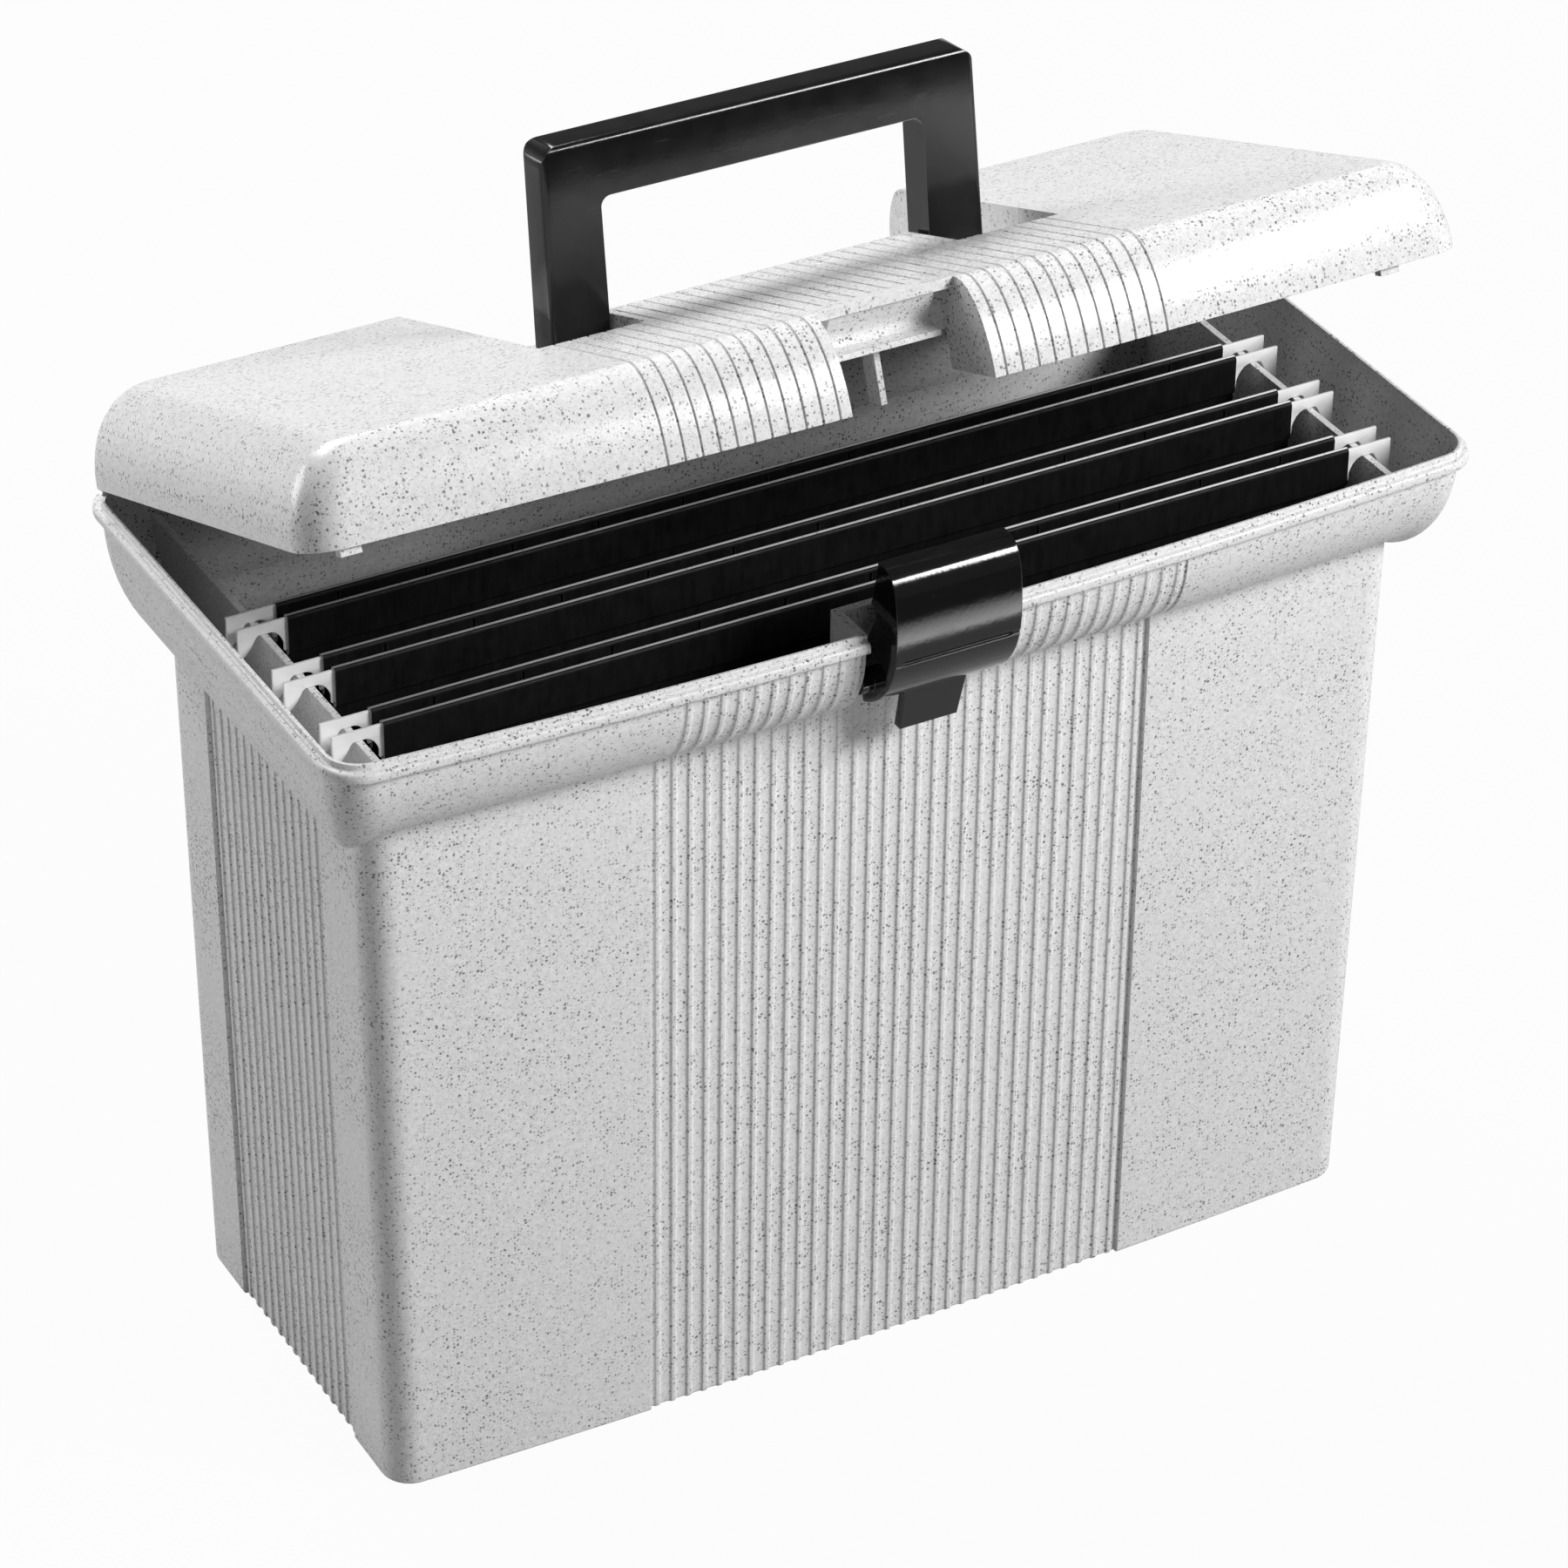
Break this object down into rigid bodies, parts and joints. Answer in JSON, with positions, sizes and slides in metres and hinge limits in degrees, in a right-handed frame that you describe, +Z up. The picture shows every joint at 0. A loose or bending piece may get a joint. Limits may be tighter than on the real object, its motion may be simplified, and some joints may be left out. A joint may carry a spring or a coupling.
{
  "type": "portable file box",
  "caption": "Portable box for hanging folders: tapered ribbed tub with a flared rim and moulded rails, hinged ribbed lid with a fold-down handle, front latch and hanging folders.",
  "frame": {"origin": "middle of the tub's bottom face, on the table", "axes": "+Z up, -Y towards the front with the latch, +X to the right along the box's length"},
  "size_m": [0.351, 0.179, 0.3613],
  "materials": {
    "granite": "pale grey with fine dark speckles, satin",
    "black_plastic": "gloss",
    "steel": "satin",
    "folder_paper": "matt black folder stock",
    "rod_white": "white coating"
  },
  "bodies": {
    "base": {"tub": "granite", "hinge_pin_left": "steel", "hinge_pin_right": "steel", "latch_pin": "steel"},
    "lid": {"lid": "granite", "handle_pin_left": "steel", "handle_pin_right": "steel"},
    "handle": {"handle": "black_plastic"},
    "latch": {"latch": "black_plastic"},
    "folder_front": {"sleeve_front": "folder_paper", "rod_front_a": "rod_white", "rod_front_b": "rod_white"},
    "folder_middle": {"sleeve_middle": "folder_paper", "rod_middle_a": "rod_white", "rod_middle_b": "rod_white"},
    "folder_back": {"sleeve_back": "folder_paper", "rod_back_a": "rod_white", "rod_back_b": "rod_white"}
  },
  "joints": [
    {"name": "lid_hinge", "type": "hinge", "parent": "base", "child": "lid", "pos_m": [0, 0.081, 0.2542], "axis": [-1, 0, 0], "range_deg": [-21, 80]},
    {"name": "handle_fold", "type": "hinge", "parent": "lid", "child": "handle", "pos_m": [0, 0.01376, 0.2964], "axis": [-1, 0, 0], "range_deg": [-38, 102]},
    {"name": "latch_swing", "type": "hinge", "parent": "base", "child": "latch", "pos_m": [0, -0.08, 0.2377], "axis": [1, 0, 0], "range_deg": [-28, 12]},
    {"name": "front_folder_slide", "type": "slide", "parent": "base", "child": "folder_front", "axis": [0, 1, 0], "range_m": [-0.007, 0.009]},
    {"name": "middle_folder_slide", "type": "slide", "parent": "base", "child": "folder_middle", "axis": [0, 1, 0], "range_m": [-0.009, 0.009]},
    {"name": "back_folder_slide", "type": "slide", "parent": "base", "child": "folder_back", "axis": [0, 1, 0], "range_m": [-0.009, 0.04]}
  ]
}
